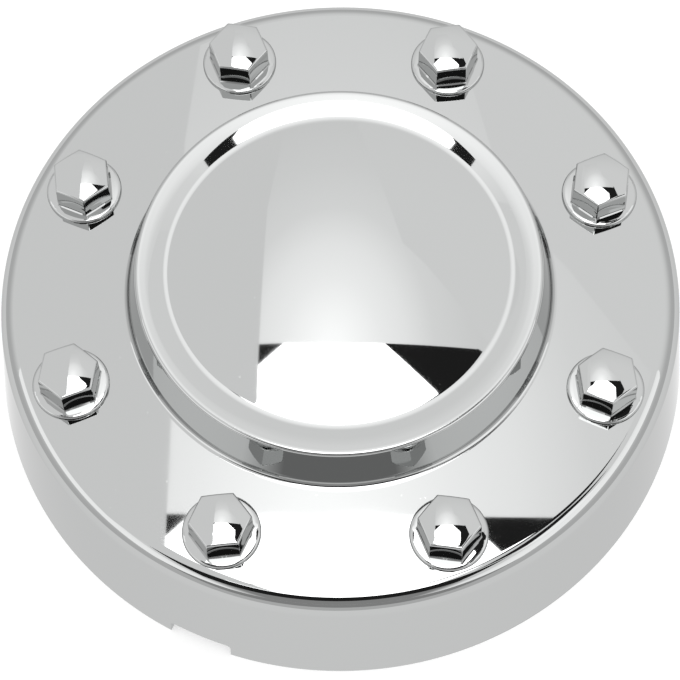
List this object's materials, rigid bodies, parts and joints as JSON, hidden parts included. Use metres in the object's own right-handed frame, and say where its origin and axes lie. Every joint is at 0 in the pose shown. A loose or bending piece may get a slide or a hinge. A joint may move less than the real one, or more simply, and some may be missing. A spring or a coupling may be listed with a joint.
{
  "type": "wheel center cap",
  "caption": "Closed chrome-plated wheel center cap: a hollow drum with dummy lug nuts round a raised hub, pushed over the wheel's own nuts.",
  "frame": {"origin": "on the axis, in the plane of the rim that rests against the wheel", "axes": "+Z along the axis, out of the wheel towards the viewer of the face; the pry notch is on the -Y side"},
  "size_m": [0.2495, 0.2494, 0.068],
  "materials": {
    "chrome_plate": "bright polished chrome plating on moulded ABS"
  },
  "bodies": {
    "root": {"center_cap": "chrome_plate"}
  },
  "joints": []
}
